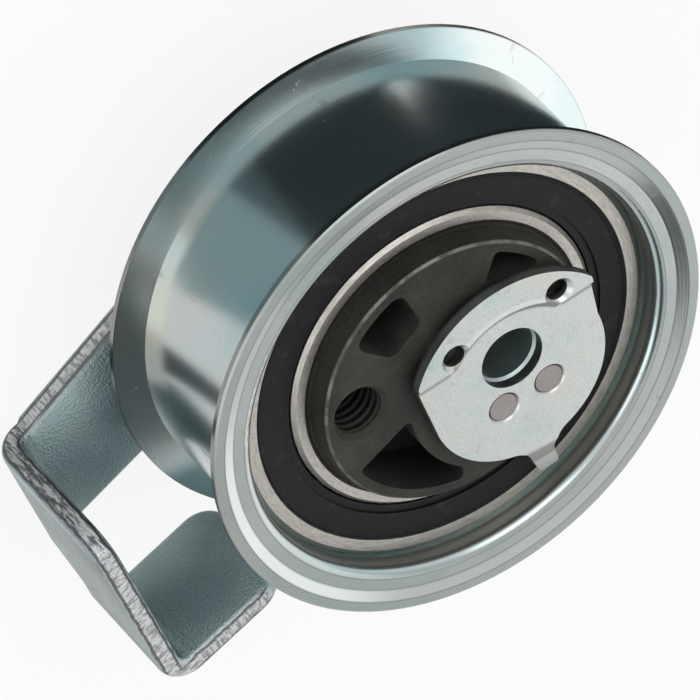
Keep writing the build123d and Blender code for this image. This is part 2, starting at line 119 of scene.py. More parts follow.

# Depths across the sheet from its inner face: the sheared strip, the outer face, which gets painted shade,
# the borders of the strip, which get thin lines of painted shade, and their wander
STRIP_START = (0.00035, 0.0006)
STRIP_END = (0.0024, 0.00265)
OUTER_FACE = (0.0028, 0.0031)
SHADED_BORDERS = (0.0005, 0.0025)
SHADED_BORDER_WIDTH = 0.00026
EDGE_WANDER = 0.0006

# Points of the bracket's mesh that lie closer than this are merged
WELD = 0.000001

# Front plate: its raised crescent, measured from the eccentric axis, with painted shade at its foot and along
# its chord and a painted highlight on its crest, and its cut side, which gets painted shade
CRESCENT_WAY = (0.2284, 0.9736)
CRESCENT_START = (0.0068, 0.0074)
CRESCENT_CHORD = 0.0069
CHORD_WIDTH = 0.0004
CHORD_ENDS = (0.0106, 0.0112)
CRESCENT_FOOT = 0.01085
FOOT_WIDTH = 0.0008
CRESCENT_CREST = 0.0119
CREST_WIDTH = 0.0005
PLATE_SIDE_Z = (0.04255, 0.0427)
PLATE_SIDE_R = (0.0165, 0.0170)

# Hub: its worn rim, the heights below which its pockets get painted shade, and its thread
HUB_RIM = 0.01912
HUB_RIM_WIDTH = 0.00022
HUB_TOP = (0.0403, 0.0406)
POCKET_SHADE = (0.0330, 0.0400)
THREAD_WALL = (0.00345, 0.0036)
THREAD_TOP = (0.0399, 0.0402)
THREAD_PITCH = 0.00125

# Ring moulded in the seal: the radii of its two flanks
SEAL_INNER = (0.0268, 0.02695)
SEAL_OUTER = (0.0271, 0.02725)

# Studio: the camera as solved from the photo, the floor, and the dark cards that only reflections show
CAMERA_LENS = 487.9
CAMERA_PLACE = (-0.07091, 0.89106, 0.84790)
CAMERA_RIGHT = (0.7444, -0.4274, 0.5131)
CAMERA_UP = (0.6661, 0.5291, -0.5257)
FLOOR_SIZE = 2.0
CARD_LIFT = 0.0004
CARD_TINT = (1.0, 1.4, 1.5)

# Colours of the plain pieces, of small marks and of the floor
BALL_STEEL = (0.7, 0.7, 0.7)
CAGE_POLYMER = (0.04, 0.04, 0.04)
WASHER_POLYMER = (0.05, 0.05, 0.05)
BUSH_BRONZE = (0.42, 0.3, 0.16)
SPRING_STEEL = (0.12, 0.12, 0.13)
SLEEVE_ZINC = (0.46, 0.55, 0.55)
RIVET_STEEL = (0.34, 0.315, 0.3)
RING_SHADE = (0.3, 0.285, 0.26)
HANDLING_MARK = (0.32, 0.32, 0.31)
SEAL_DUST = (0.2, 0.2, 0.2)
FLOOR_COLOUR = (0.9, 0.9, 0.9)

# Angles in degrees: faces this flat are joined, folds this sharp are rounded, and shading breaks here
FLAT_FACES = 0.2
SHARP_FOLD = 50
SHADING_BREAK = 35


class Value:
    """A number socket that arithmetic can be written on."""

    def __init__(self, maker, socket):
        self.maker = maker
        self.socket = socket

    def _math(self, operation, *others):
        return self.maker.number("ShaderNodeMath", {"operation": operation}, self, *others)

    def __add__(self, other):
        return self._math("ADD", other)

    def __radd__(self, other):
        return self._math("ADD", other)

    def __sub__(self, other):
        return self._math("SUBTRACT", other)

    def __rsub__(self, other):
        return self.maker.number("ShaderNodeMath", {"operation": "SUBTRACT"}, other, self)

    def __mul__(self, other):
        return self._math("MULTIPLY", other)

    def __rmul__(self, other):
        return self._math("MULTIPLY", other)

    def __pow__(self, other):
        return self._math("POWER", other)

    def fn(self, operation, *others):
        """Any other Math operation, such as SINE or GREATER_THAN."""
        return self._math(operation, *others)

    def step(self, low, high):
        """0 below low, 1 above high, smooth between."""
        settings = {"interpolation_type": "SMOOTHSTEP"}
        return self.maker.number("ShaderNodeMapRange", settings, self, low, high, 0.0, 1.0)


def set_stops(ramp, stops):
    """Gives a colour ramp its (place, colour) stops."""
    while len(ramp.elements) < len(stops):
        ramp.elements.new(1.0)
    for element, (place, colour) in zip(ramp.elements, stops):
        element.position = place
        element.color = (*colour, 1)


class NodeTree:
    """A cleared node tree that nodes are added to."""

    def __init__(self, tree):
        self.tree = tree
        self.tree.nodes.clear()

    def node(self, kind, settings=None, *inputs, **named):
        """A node of a type, its settings or stops first, then the values or links of its sockets."""
        made = self.tree.nodes.new(kind)
        for key, setting in (settings or {}).items():
            if key == "stops":
                set_stops(made.color_ramp, setting)
            else:
                setattr(made, key, setting)
        pairs = list(enumerate(inputs)) + [(k.replace("_", " "), v) for k, v in named.items()]
        for key, value in pairs:
            source = value.socket if isinstance(value, Value) else value
            if isinstance(source, bpy.types.NodeSocket):
                self.tree.links.new(source, made.inputs[key])
            else:
                made.inputs[key].default_value = source
        return made

    def number(self, kind, settings, *inputs, **named):
        """The number that a node gives."""
        return Value(self, self.node(kind, settings, *inputs, **named).outputs[0])

    def white_to_view(self):
        """1 where the camera, a metal or a glass looks, 0 for soft light on matt surfaces."""
        path = self.node("ShaderNodeLightPath")
        rays = ("Is Camera Ray", "Is Glossy Ray", "Is Transmission Ray")
        camera, glossy, glass = (Value(self, path.outputs[ray]) for ray in rays)
        return camera.fn("MAXIMUM", glossy).fn("MAXIMUM", glass)


class Finish(NodeTree):
    """A material under construction, on a Principled shader."""

    def __init__(self, name):
        self.material = bpy.data.materials.new(name)
        self.material.use_nodes = True
        super().__init__(self.material.node_tree)
        self.shader = self.node("ShaderNodeBsdfPrincipled")
        self.output = self.node("ShaderNodeOutputMaterial", None, self.shader.outputs[0])
        self.place = self.node("ShaderNodeTexCoord").outputs["Object"]

    def coordinates(self, centre=(0, 0)):
        """X, Y and Z in metres, with X and Y from a centre."""
        split = self.node("ShaderNodeSeparateXYZ", None, self.place)
        x, y, z = (Value(self, s) for s in split.outputs)
        return x - centre[0], y - centre[1], z

    def radius(self, centre):
        """Distance from an upright axis, in metres."""
        x, y, _ = self.coordinates(centre)
        return (x * x + y * y) ** 0.5

    def angle(self, centre):
        """Angle about an upright axis, in radians."""
        x, y, _ = self.coordinates(centre)
        return y.fn("ARCTAN2", x)

    def noise(self, scale, detail=3.0, rough=0.55, stretch=(1, 1, 1), vector=None):
        """Noise from 0 to 1 in object space, stretched along the axes."""
        moved = self.node("ShaderNodeMapping", None, vector or self.place, Scale=stretch)
        settings = {"noise_dimensions": "3D"}
        return self.number(
            "ShaderNodeTexNoise", settings, moved.outputs[0], Scale=scale, Detail=detail, Roughness=rough
        )

    def around(self, centre):
        """A vector of turn angle, height and radius, for marks that run round an axis."""
        _, _, z = self.coordinates(centre)
        return self.node("ShaderNodeCombineXYZ", None, self.angle(centre), z, self.radius(centre)).outputs[0]

    def mix(self, factor, first, second):
        """A colour between two."""
        made = self.node("ShaderNodeMix", {"data_type": "RGBA"})
        for key, value in (("Factor", factor), ("A", first), ("B", second)):
            socket = next(s for s in made.inputs if s.name == key and s.enabled)
            source = value.socket if isinstance(value, Value) else value
            if isinstance(source, bpy.types.NodeSocket):
                self.tree.links.new(source, socket)
            else:
                socket.default_value = (*source, 1) if hasattr(source, "__len__") else source
        return next(s for s in made.outputs if s.enabled)

    def ramp(self, value, *stops):
        """A colour ramp with (place, colour) stops."""
        return self.node("ShaderNodeValToRGB", {"stops": stops}, value).outputs[0]

    def set(self, **sockets):
        """Values or links of the shader's own sockets."""
        for key, value in sockets.items():
            socket = self.shader.inputs[key.replace("_", " ")]
            source = value.socket if isinstance(value, Value) else value
            if isinstance(source, bpy.types.NodeSocket):
                self.tree.links.new(source, socket)
            elif hasattr(source, "__len__") and len(source) == 3 and len(socket.default_value) == 4:
                socket.default_value = (*source, 1)
            else:
                socket.default_value = source

    def band(self, value, place, width):
        """1 within a width about a place, 0 beyond it."""
        return 1.0 - (value - place).fn("ABSOLUTE").step(width * 0.5, width)

    def bump(self, height, distance, strength=1.0, under=None):
        """A bump of a height in metres, over another where given."""
        below = {} if under is None else {"Normal": under}
        made = self.node("ShaderNodeBump", None, Strength=strength, Distance=distance, Height=height, **below)
        return made.outputs[0]


def zinc_turned(name, settings):
    """Bright zinc plate on turned steel, with faint rings and an iridescent passivation; painted shade,
    partly dirt, darkens the bore, the outer edge and thin rings at the face's edges, and a painted highlight
    brightens the face's slope.
    """
    f = Finish(name)
    radius = f.radius(PULLEY_AXIS)
    _, _, z = f.coordinates()
    height = (z - PULLEY_MIDDLE).fn("ABSOLUTE")
    rings = f.noise(1.0, 2.0, 0.6, (2.0, 5200.0, 5200.0), f.around(PULLEY_AXIS))
    broad = f.noise(55.0, 3.0, 0.5)
    drift = f.noise(24.0, 2.0, 0.5, (1, 1, 2.2))
    scuffs = f.noise(260.0, 4.0, 0.7, (1, 1, 0.35)).step(0.64, 0.7)
    tint = f.ramp(
        broad * 0.45 + drift * 0.55,
        (0.3, settings.plate_warm),
        (0.46, settings.plate_colour),
        (0.6, settings.plate_tint),
        (0.75, settings.plate_blue),
    )
    rim = radius.step(*RIM_RING) * height.step(*RIM_TOP)
    wall = (1.0 - radius.step(*BORE_WALL)) * height.step(*BORE_DEEP)
    outside = radius.step(*OUTER_EDGE)
    face = height.step(*FLANGE_FACE)
    lines = sum((f.band(radius, place, LINE_WIDTH) for place in SHADED_RING_EDGES), 0.0)
    sweep = f.noise(1.0, 2.0, 0.5, (1.6, 60.0, 60.0), f.around(PULLEY_AXIS)).step(0.35, 0.65)
    flat = f.mix(sweep, settings.turned_dull, settings.turned_colour)
    shade = f.mix(face * 0.7, tint, flat)
    shade = f.mix(rim * 0.45, shade, settings.turned_dull)
    # Painted highlight: the slope in the flange's face is brightened
    slope = radius.step(*SLOPE_FOOT) * (1.0 - radius.step(*SLOPE_TOP)) * face
    shade = f.mix(slope * 0.6, shade, settings.painted_highlight)
    # Painted shade, partly dirt: darker in the bore, at the outer edge and in thin rings at the edges of the
    # flange's face
    shade_and_grime = (wall * 0.75 + outside * 0.6 + lines * face * 0.55).fn("MINIMUM", 0.9)
    shade = f.mix(shade_and_grime, shade, settings.scuff_and_shade_dark)
    f.set(Base_Color=f.mix(scuffs * 0.2, shade, settings.scuff_and_shade_dark), Metallic=1.0)
    f.set(Roughness=0.15 + rim * 0.16 + wall * 0.18 + rings * 0.07 + broad * 0.05 + scuffs * 0.1)
    fine = f.bump(rings, 0.00002, 0.35)
    turned = f.bump((radius * RIM_WAVES).fn("SINE") * rim, 0.00001, 0.6, fine)
    f.set(Normal=f.bump(broad, 0.0002, 0.12, turned))
    return f.material


def sheet_depth(f):
    """Depth across the sheet from its inner face, round the arm's bend too, with a little wander."""
    x, y, z = f.coordinates()
    web_x, web_y = x - WEB_START[0], y - WEB_START[1]
    from_web = web_x * WEB_ACROSS[0] + web_y * WEB_ACROSS[1]
    flange_x, flange_y = x - FLANGE_START[0], y - FLANGE_START[1]
    from_flange = flange_x * FLANGE_ACROSS[0] + flange_y * FLANGE_ACROSS[1] + SHEET / 2
    bend_across = (from_web + BEND).fn("MAXIMUM", 0.0)
    bend_up = (SHEET + BEND - z).fn("MAXIMUM", 0.0)
    around_bend = (bend_across ** 2.0 + bend_up ** 2.0) ** 0.5 - BEND
    wander = (f.noise(500.0, 3.0, 0.6) - 0.5) * EDGE_WANDER
    return around_bend.fn("MAXIMUM", from_flange) + wander


def arm_side(f):
    """1 on the sheared edge that runs along the arm and up the web's end."""
    x, y, _ = f.coordinates()
    upper = y - ARM_START[1] - (x - ARM_START[0]) * ARM_SLOPE
    return upper.step(*ARM_EDGE) * (1.0 - x.step(*ARM_EDGE_END))


def rounded_corner(f):
    """1 on the rounded corner between the web's end and its top."""
    x, y, z = f.coordinates()
    along_web = (y - WEB_START[1]) * WEB_ACROSS[0] - (x - WEB_START[0]) * WEB_ACROSS[1]
    reach = ((along_web - CORNER) ** 2.0 + (z - CORNER_Z) ** 2.0) ** 0.5
    beside = (1.0 - along_web.step(*CORNER_ALONG)) * z.step(*CORNER_UP)
    return reach.step(*CORNER_ARC) * beside * (1.0 - x.step(*CORNER_X))


def zinc_sheet(name, settings):
    """Zinc plate on pressed sheet: an orange-peel face and sheared, striated edges, with painted highlights
    on the edges and painted shade on the outer face, on the web's end and in thin lines at the sheared
    strip's borders.
    """
    f = Finish(name)
    x, y, z = f.coordinates()
    grain = f.noise(4200.0, 3.0, 0.6)
    peel = f.noise(2700.0, 2.0, 0.5)
    broad = f.noise(40.0, 2.0, 0.5)
    tint = f.ramp(
        broad, (0.35, settings.bracket_dark), (0.55, settings.bracket_colour), (0.75, settings.plate_tint)
    )
    arm_edge = arm_side(f)
    web_end_shade = arm_edge * (1.0 - x.step(*WEB_END_X))
    edges = (z.step(*WEB_TOP) + arm_edge + rounded_corner(f)).fn("MINIMUM", 1.0)
    depth = sheet_depth(f)
    strip = depth.step(*STRIP_START) * (1.0 - depth.step(*STRIP_END))
    # Thin lines of painted shade at the borders of the sheared strip
    border_shade = sum((f.band(depth, place, SHADED_BORDER_WIDTH) for place in SHADED_BORDERS), 0.0).fn("MINIMUM", 1.0)
    across = f.noise(1500.0, 4.0, 0.7, (0.5, 1.6, 0.3))
    along = f.noise(1500.0, 4.0, 0.7, (1.6, 0.5, 0.3))
    flange = (1.0 - y.step(*FLANGE_Y)) * x.step(*FLANGE_X)
    side = (flange + arm_edge).fn("MINIMUM", 1.0)
    strokes = across * (1.0 - side) + along * side
    torn = strokes.step(0.4, 0.58)
    sheared = edges * strip
    bare = f.mix(torn, settings.shear_dark, settings.pale_strokes_and_highlight)
    # Painted shade on the sheared edge up the web's end, apart from its torn strokes
    bare = f.mix(web_end_shade * (1.0 - torn) * 0.75, bare, settings.painted_edge_shade)
    # Painted highlight on the edges, then painted shade on the outer face
    rolled = f.mix(edges * (1.0 - arm_edge * 0.5) * 0.6, tint, settings.painted_highlight)
    rolled = f.mix(depth.step(*OUTER_FACE) * (1.0 - edges) * 0.55, rolled, settings.scuff_and_shade_dark)
    shade = f.mix(sheared, rolled, bare)
    # The thin lines of painted shade at the strip's borders go on last
    f.set(Base_Color=f.mix(edges * border_shade * 0.8, shade, settings.painted_edge_shade), Metallic=1.0)
    f.set(Roughness=0.34 + grain * 0.12 - sheared * 0.1)
    coarse = f.bump(peel * (1.0 - sheared), 0.00018, 0.95)
    cut = f.bump(strokes * sheared, 0.0006, 0.95, coarse)
    f.set(Normal=f.bump(grain, 0.00012, 0.7, cut))
    return f.material


def zinc_satin(name, settings):
    """Pale satin zinc plate of the front plate, with faint colour and handling marks, painted shade at the
    crescent's foot, along its chord and on the plate's side, and a painted highlight on the crescent's crest.
    """
    f = Finish(name)
    broad = f.noise(160.0, 4.0, 0.6)
    grain = f.noise(2600.0, 2.0, 0.6)
    marks = f.noise(420.0, 5.0, 0.75).step(0.56, 0.68)
    tint = f.ramp(
        broad, (0.32, settings.pointer_cool), (0.5, settings.pointer_colour), (0.68, settings.pointer_warm)
    )
    x, y, z = f.coordinates(ECCENTRIC_AXIS)
    reach = f.radius(ECCENTRIC_AXIS)
    # Painted shade on the plate's cut side
    edge = (1.0 - z.step(*PLATE_SIDE_Z)) * (1.0 - reach.step(*PLATE_SIDE_R))
    shade = f.mix(marks * 0.3, tint, HANDLING_MARK)
    across = x * CRESCENT_WAY[0] + y * CRESCENT_WAY[1]
    crown = across.step(*CRESCENT_START)
    # Painted shade at the crescent's foot and along its chord, and a painted highlight on its crest
    foot = f.band(reach, CRESCENT_FOOT, FOOT_WIDTH) * crown
    crest = f.band(reach, CRESCENT_CREST, CREST_WIDTH) * crown
    chord = f.band(across, CRESCENT_CHORD, CHORD_WIDTH) * reach.step(*CHORD_ENDS)
    shade = f.mix((foot * 0.75).fn("MAXIMUM", chord * 0.6), shade, settings.scuff_and_shade_dark)
    shade = f.mix(crest * 0.5, shade, settings.pale_strokes_and_highlight)
    f.set(Base_Color=f.mix(edge * 0.7, shade, settings.scuff_and_shade_dark))
    f.set(Metallic=1.0, Roughness=0.3 + broad * 0.08 + marks * 0.1)
    fine = f.bump(grain, 0.00006, 0.6)
    f.set(Normal=f.bump(broad, 0.0002, 0.25, fine))
    return f.material


def ground_steel(name, settings):
    """Ground bearing steel, with fine marks round its axis."""
    f = Finish(name)
    rings = f.noise(1.0, 3.0, 0.7, (14.0, 3800.0, 3800.0), f.around(PULLEY_AXIS))
    grain = f.noise(3200.0, 2.0, 0.6)
    shade = f.ramp(rings * 0.6 + grain * 0.4, (0.3, RING_SHADE), (0.7, settings.ring_colour))
    f.set(Base_Color=shade, Metallic=1.0, Roughness=0.36 + grain * 0.14)
    f.set(Normal=f.bump(rings * 0.5 + grain * 0.5, 0.00003, 0.6))
    return f.material


def phosphated_steel(name, settings):
    """Dark phosphated hub, matt and fine-grained, rubbed brighter at its rim, with painted shade deeper down
    in its pockets.
    """
    f = Finish(name)
    radius = f.radius(PULLEY_AXIS)
    _, _, z = f.coordinates()
    grain = f.noise(1900.0, 4.0, 0.65)
    patch = f.noise(120.0, 3.0, 0.55)
    worn = f.noise(300.0, 3.0, 0.6).step(0.4, 0.6)
    rim = f.band(radius, HUB_RIM, HUB_RIM_WIDTH) * z.step(*HUB_TOP) * (0.35 + worn * 0.65)
    base = f.ramp(
        patch * 0.55 + grain * 0.45,
        (0.3, settings.hub_dark_and_pocket_shade),
        (0.55, settings.hub_colour),
        (0.8, settings.hub_pale),
    )
    # Painted shade, darker deeper down in the pockets
    base = f.mix((1.0 - z.step(*POCKET_SHADE)) * 0.7, base, settings.hub_dark_and_pocket_shade)
    f.set(Base_Color=f.mix(rim * 0.4, base, settings.turned_colour))
    f.set(Specular_IOR_Level=0.3, Metallic=0.25 + rim * 0.5, Roughness=0.58 + grain * 0.16 - rim * 0.2)
    threaded = (1.0 - f.radius(TAPPED_AXIS).step(*THREAD_WALL)) * (1.0 - z.step(*THREAD_TOP))
    helix = (z * (math.tau / THREAD_PITCH) + f.angle(TAPPED_AXIS)).fn("SINE")
    thread = f.bump(helix * threaded, 0.0002, 0.8)
    f.set(Normal=f.bump(grain, 0.00005, 0.6, thread))
    return f.material


def seal_rubber(name, settings):
    """Black rubber seal, matt, with fine grain, one moulded ring and a little dust."""
    f = Finish(name)
    grain = f.noise(2600.0, 3.0, 0.6)
    dust = f.noise(420.0, 3.0, 0.6).step(0.56, 0.8)
    f.set(Base_Color=f.mix(dust * 0.12, settings.seal_colour, SEAL_DUST))
    f.set(Roughness=0.5 + grain * 0.12, Specular_IOR_Level=0.22)
    radius = f.radius(PULLEY_AXIS)
    ridge = radius.step(*SEAL_INNER) * (1.0 - radius.step(*SEAL_OUTER))
    f.set(Normal=f.bump(grain, 0.00003, 0.4, f.bump(ridge, 0.0002, 0.8)))
    return f.material


def plain_metal(name, colour, roughness, metallic=1.0):
    """A plain surface with fine grain: metal, or polymer where metallic is 0."""
    f = Finish(name)
    grain = f.noise(2400.0, 3.0, 0.6)
    patch = f.noise(240.0, 2.0, 0.5)
    shade = tuple(c * 0.72 for c in colour)
    f.set(Base_Color=f.mix(patch, shade, colour), Metallic=metallic, Roughness=roughness + grain * 0.12)
    f.set(Normal=f.bump(grain, 0.00003, 0.5))
    return f.material


def give(node, material):
    """Puts a finish on a CAD node."""
    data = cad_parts[node].data
    data.materials.clear()
    data.materials.append(material)


def floor_material(name, colour, whiteness):
    """Pale floor that looks near white and keeps a soft shadow."""
    f = Finish(name)
    f.set(Base_Color=colour, Roughness=0.9, Specular_IOR_Level=0.1)
    glow = f.node("ShaderNodeEmission", None, (1, 1, 1, 1), 1.0)
    share = f.white_to_view() * whiteness
    mixed = f.node("ShaderNodeMixShader", None, share, f.shader.outputs[0], glow.outputs[0])
    f.tree.links.new(mixed.outputs[0], f.output.inputs[0])
    return f.material


def finish_piece(tree, node, name, material):
    """Turns an edited mesh into a piece that replaces its node."""
    mesh = bpy.data.meshes.new(name)
    tree.to_mesh(mesh)
    tree.free()
    mesh.materials.append(material)
    piece = bpy.data.objects.new(name, mesh)
    bpy.context.scene.collection.objects.link(piece)
    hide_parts(node)
    return piece


def place_camera(scene):
    """The camera as solved from the photo's ellipses."""
    data = bpy.data.cameras.new("photo_camera")
    data.sensor_width = 36.0
    data.lens = CAMERA_LENS
    data.clip_start = 0.1
    data.clip_end = 20.0
    camera = bpy.data.objects.new("photo_camera", data)
    scene.collection.objects.link(camera)
    right = Vector(CAMERA_RIGHT)
    back = right.cross(Vector(CAMERA_UP)).normalized()
    up = back.cross(right).normalized()
    turn = Matrix((right.normalized(), up, back)).transposed()
    camera.matrix_world = Matrix.Translation(CAMERA_PLACE) @ turn.to_4x4()
    scene.camera = camera


def stage_sheet(name, tree, material):
    """A flat sheet of the studio, which is no part of the object."""
    mesh = bpy.data.meshes.new(name)
    tree.to_mesh(mesh)
    tree.free()
    mesh.materials.append(material)
    sheet = bpy.data.objects.new(name, mesh)
    bpy.context.scene.collection.objects.link(sheet)
    return sheet


def lay_floor(level, whiteness):
    """The pale floor at a level."""
    tree = bmesh.new()
    bmesh.ops.create_grid(tree, x_segments=1, y_segments=1, size=FLOOR_SIZE)
    bmesh.ops.translate(tree, verts=tree.verts, vec=(0, 0, level))
    stage_sheet("floor", tree, floor_material("floor_pale", FLOOR_COLOUR, whiteness))


def lay_cards(level):
    """Dark cards that show only in the plating's reflections."""
    cards = (
        ("flag_low_top", (0.055, 0.09, level), (0.15, 0.105), 0.0, 0.03),
        ("flag_low_right", (0.086, 0.0, level), (0.1, 0.075), 0.0, 0.03),
        ("flag_low_middle", (-0.043, 0.072, level), (0.045, 0.06), 0.5, 0.36),
        ("flag_low_left", (-0.080, 0.018, level), (0.06, 0.009), -0.2, 0.05),
        ("flag_low_arm", (-0.030, 0.0152, level), (0.046, 0.005), 0.19, 0.05),
        ("flag_high", (-0.25, -0.24, 0.36), (0.26, 0.44), 0.0, 0.09),
    )
    for name, place, size, angle, shade in cards:
        turn = Matrix.Rotation(angle, 4, "Z")
        spread = Matrix.Translation(place) @ turn @ Matrix.Diagonal((*size, 1, 1))
        tree = bmesh.new()
        bmesh.ops.create_grid(tree, x_segments=1, y_segments=1, size=0.5, matrix=spread)
        finish = Finish(name)
        colour = tuple(shade * part for part in CARD_TINT)
        finish.set(Base_Color=colour, Roughness=0.9, Specular_IOR_Level=0.1)
        card = stage_sheet(name, tree, finish.material)
        card.visible_camera = False
        card.visible_diffuse = False
        card.visible_shadow = False


def hang_lamps(middle, level):
    """Three soft boxes, each with its way from the part, its size and its power."""
    lamps = (
        ("key_softbox", (0.25, 0.55, 0.75), 0.75, 2.35),
        ("fill_softbox", (-0.75, 0.35, 0.35), 0.7, 1.6),
        ("back_softbox", (0.42, -0.55, 0.45), 0.6, 0.9),
    )
    for name, way, size, power in lamps:
        light = bpy.data.lights.new(name, "AREA")
        light.shape = "SQUARE"
        light.size = size
        light.energy = power * level
        lamp = bpy.data.objects.new(name, light)
        lamp.location = middle + Vector(way)
        lamp.rotation_euler = (-Vector(way)).to_track_quat("-Z", "Y").to_euler()
        bpy.context.scene.collection.objects.link(lamp)


def light_world(scene, ambient):
    """White to look at, and softer as light on matt surfaces."""
    world = bpy.data.worlds.new("studio_world")
    scene.world = world
    world.use_nodes = True
    sky = NodeTree(world.node_tree)
    level = sky.number("ShaderNodeMapRange", None, sky.white_to_view(), To_Min=ambient, To_Max=1.0)
    soft = sky.node("ShaderNodeBackground", None, (1, 1, 1, 1), level)
    sky.node("ShaderNodeOutputWorld", None, soft.outputs[0])


class FinishSettings(bpy.types.PropertyGroup):
    """Colours of the finishes."""

    plate_colour: bpy.props.FloatVectorProperty(
        name="Plate",
        description="Zinc plate of the pulley",
        subtype="COLOR",
        default=(0.5, 0.55, 0.55),
    )
    plate_tint: bpy.props.FloatVectorProperty(
        name="Plate tint",
        description="Blue-green passivation on the zinc",
        subtype="COLOR",
        default=(0.38, 0.5, 0.51),
    )
    plate_warm: bpy.props.FloatVectorProperty(
        name="Plate warm",
        description="Yellowish passivation on the zinc",
        subtype="COLOR",
        default=(0.56, 0.56, 0.51),
    )
    bracket_colour: bpy.props.FloatVectorProperty(
        name="Bracket",
        description="Zinc plate of the bracket",
        subtype="COLOR",
        default=(0.27, 0.345, 0.35),
    )
    bracket_dark: bpy.props.FloatVectorProperty(
        name="Bracket dark",
        description="Darker zinc on the bracket",
        subtype="COLOR",
        default=(0.13, 0.19, 0.205),
    )
    pointer_colour: bpy.props.FloatVectorProperty(
        name="Front plate",
        description="Satin zinc of the front plate",
        subtype="COLOR",
        default=(0.5, 0.53, 0.52),
    )
    pointer_cool: bpy.props.FloatVectorProperty(
        name="Front plate cool",
        description="Bluish zinc on the front plate",
        subtype="COLOR",
        default=(0.43, 0.5, 0.49),
    )
    pointer_warm: bpy.props.FloatVectorProperty(
        name="Front plate warm",
        description="Pinkish zinc on the front plate",
        subtype="COLOR",
        default=(0.51, 0.515, 0.485),
    )
    plate_blue: bpy.props.FloatVectorProperty(
        name="Plate blue",
        description="Bluish passivation on the zinc",
        subtype="COLOR",
        default=(0.4, 0.48, 0.55),
    )
    turned_colour: bpy.props.FloatVectorProperty(
        name="Turned face",
        description="Turned metal of the rims",
        subtype="COLOR",
        default=(0.36, 0.36, 0.345),
    )
    # Colour of the pulley's random scuffs, and of painted shade on the pulley, the bracket's outer face and
    # the front plate
    scuff_and_shade_dark: bpy.props.FloatVectorProperty(
        name="Dark metal",
        description="Dull metal of bore and edges",
        subtype="COLOR",
        default=(0.2, 0.19, 0.17),
    )
    turned_dull: bpy.props.FloatVectorProperty(
        name="Turned dull",
        description="Greyer turned metal",
        subtype="COLOR",
        default=(0.27, 0.3, 0.285),
    )
    # Colour of painted highlights on the pulley face's slope and on the bracket's edges
    painted_highlight: bpy.props.FloatVectorProperty(
        name="Turned bright",
        description="Brightest turned metal",
        subtype="COLOR",
        default=(0.5, 0.52, 0.51),
    )
    # Colour of the pale strokes on sheared edges, and of the painted highlight on the front plate's crest
    pale_strokes_and_highlight: bpy.props.FloatVectorProperty(
        name="Sheared pale",
        description="Bright strokes on sheared edges",
        subtype="COLOR",
        default=(0.66, 0.67, 0.68),
    )
    shear_dark: bpy.props.FloatVectorProperty(
        name="Sheared dark",
        description="Dark strokes on sheared edges",
        subtype="COLOR",
        default=(0.3, 0.3, 0.31),
    )
    # Colour of painted shade in thin lines at the bracket's strip borders and on its web's end
    painted_edge_shade: bpy.props.FloatVectorProperty(
        name="Shear line",
        description="Crease beside a sheared edge",
        subtype="COLOR",
        default=(0.08, 0.085, 0.09),
    )
    ring_colour: bpy.props.FloatVectorProperty(
        name="Bearing rings",
        description="Ground steel of the rings",
        subtype="COLOR",
        default=(0.56, 0.54, 0.5),
    )
    hub_colour: bpy.props.FloatVectorProperty(
        name="Hub",
        description="Phosphated steel of the hub",
        subtype="COLOR",
        default=(0.042, 0.04, 0.035),
    )
    # Colour of the darkest phosphate, and of painted shade deep in the hub's pockets
    hub_dark_and_pocket_shade: bpy.props.FloatVectorProperty(
        name="Hub dark",
        description="Darkest phosphate",
        subtype="COLOR",
        default=(0.018, 0.017, 0.015),
    )
    hub_pale: bpy.props.FloatVectorProperty(
        name="Hub pale",
        description="Palest phosphate",
        subtype="COLOR",
        default=(0.08, 0.076, 0.068),
    )
    seal_colour: bpy.props.FloatVectorProperty(
        name="Seal",
        description="Black rubber of the seals",
        subtype="COLOR",
        default=(0.007, 0.007, 0.008),
    )


class StudioSettings(bpy.types.PropertyGroup):
    """Light and floor of the studio."""

    lamp_level: bpy.props.FloatProperty(
        name="Lamps", description="Factor on all the soft lights", default=1.0
    )
    ambient: bpy.props.FloatProperty(
        name="Ambient", description="Strength of the light from all round", default=0.6
    )
    whiteness: bpy.props.FloatProperty(
        name="Floor white", description="How far the floor nears white", default=0.86, subtype="FACTOR"
    )
    floor_gap: bpy.props.FloatProperty(
        name="Floor gap", description="Height of the part above the floor", default=0.0, unit="LENGTH"
    )


class TENSIONER_OT_pulley(bpy.types.Operator):
    """Finish the belt pulley in turned zinc plate"""

    bl_idname = "tensioner.pulley"
    bl_label = "Finish pulley"

    def execute(self, context):
        give("pulley_shell", zinc_turned("pulley_zinc_turned", context.scene.tensioner_finish))
        return {"FINISHED"}


class TENSIONER_OT_bearing(bpy.types.Operator):
    """Finish the bearing's rings, seals, cage and balls"""

    bl_idname = "tensioner.bearing"
    bl_label = "Finish bearing"

    def execute(self, context):
        settings = context.scene.tensioner_finish
        steel = ground_steel("bearing_steel_ground", settings)
        rubber = seal_rubber("seal_rubber_black", settings)
        ball = plain_metal("ball_steel_polished", BALL_STEEL, 0.08)
        cage = plain_metal("cage_polymer_black", CAGE_POLYMER, 0.5, 0.0)
        for node in ("bearing_inner_ring", "bearing_outer_ring"):
            give(node, steel)
        for node in ("seal_front", "seal_rear"):
            give(node, rubber)
        give("ball_cage", cage)
        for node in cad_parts:
            if node.startswith("ball_") and node != "ball_cage":
                give(node, ball)
        return {"FINISHED"}


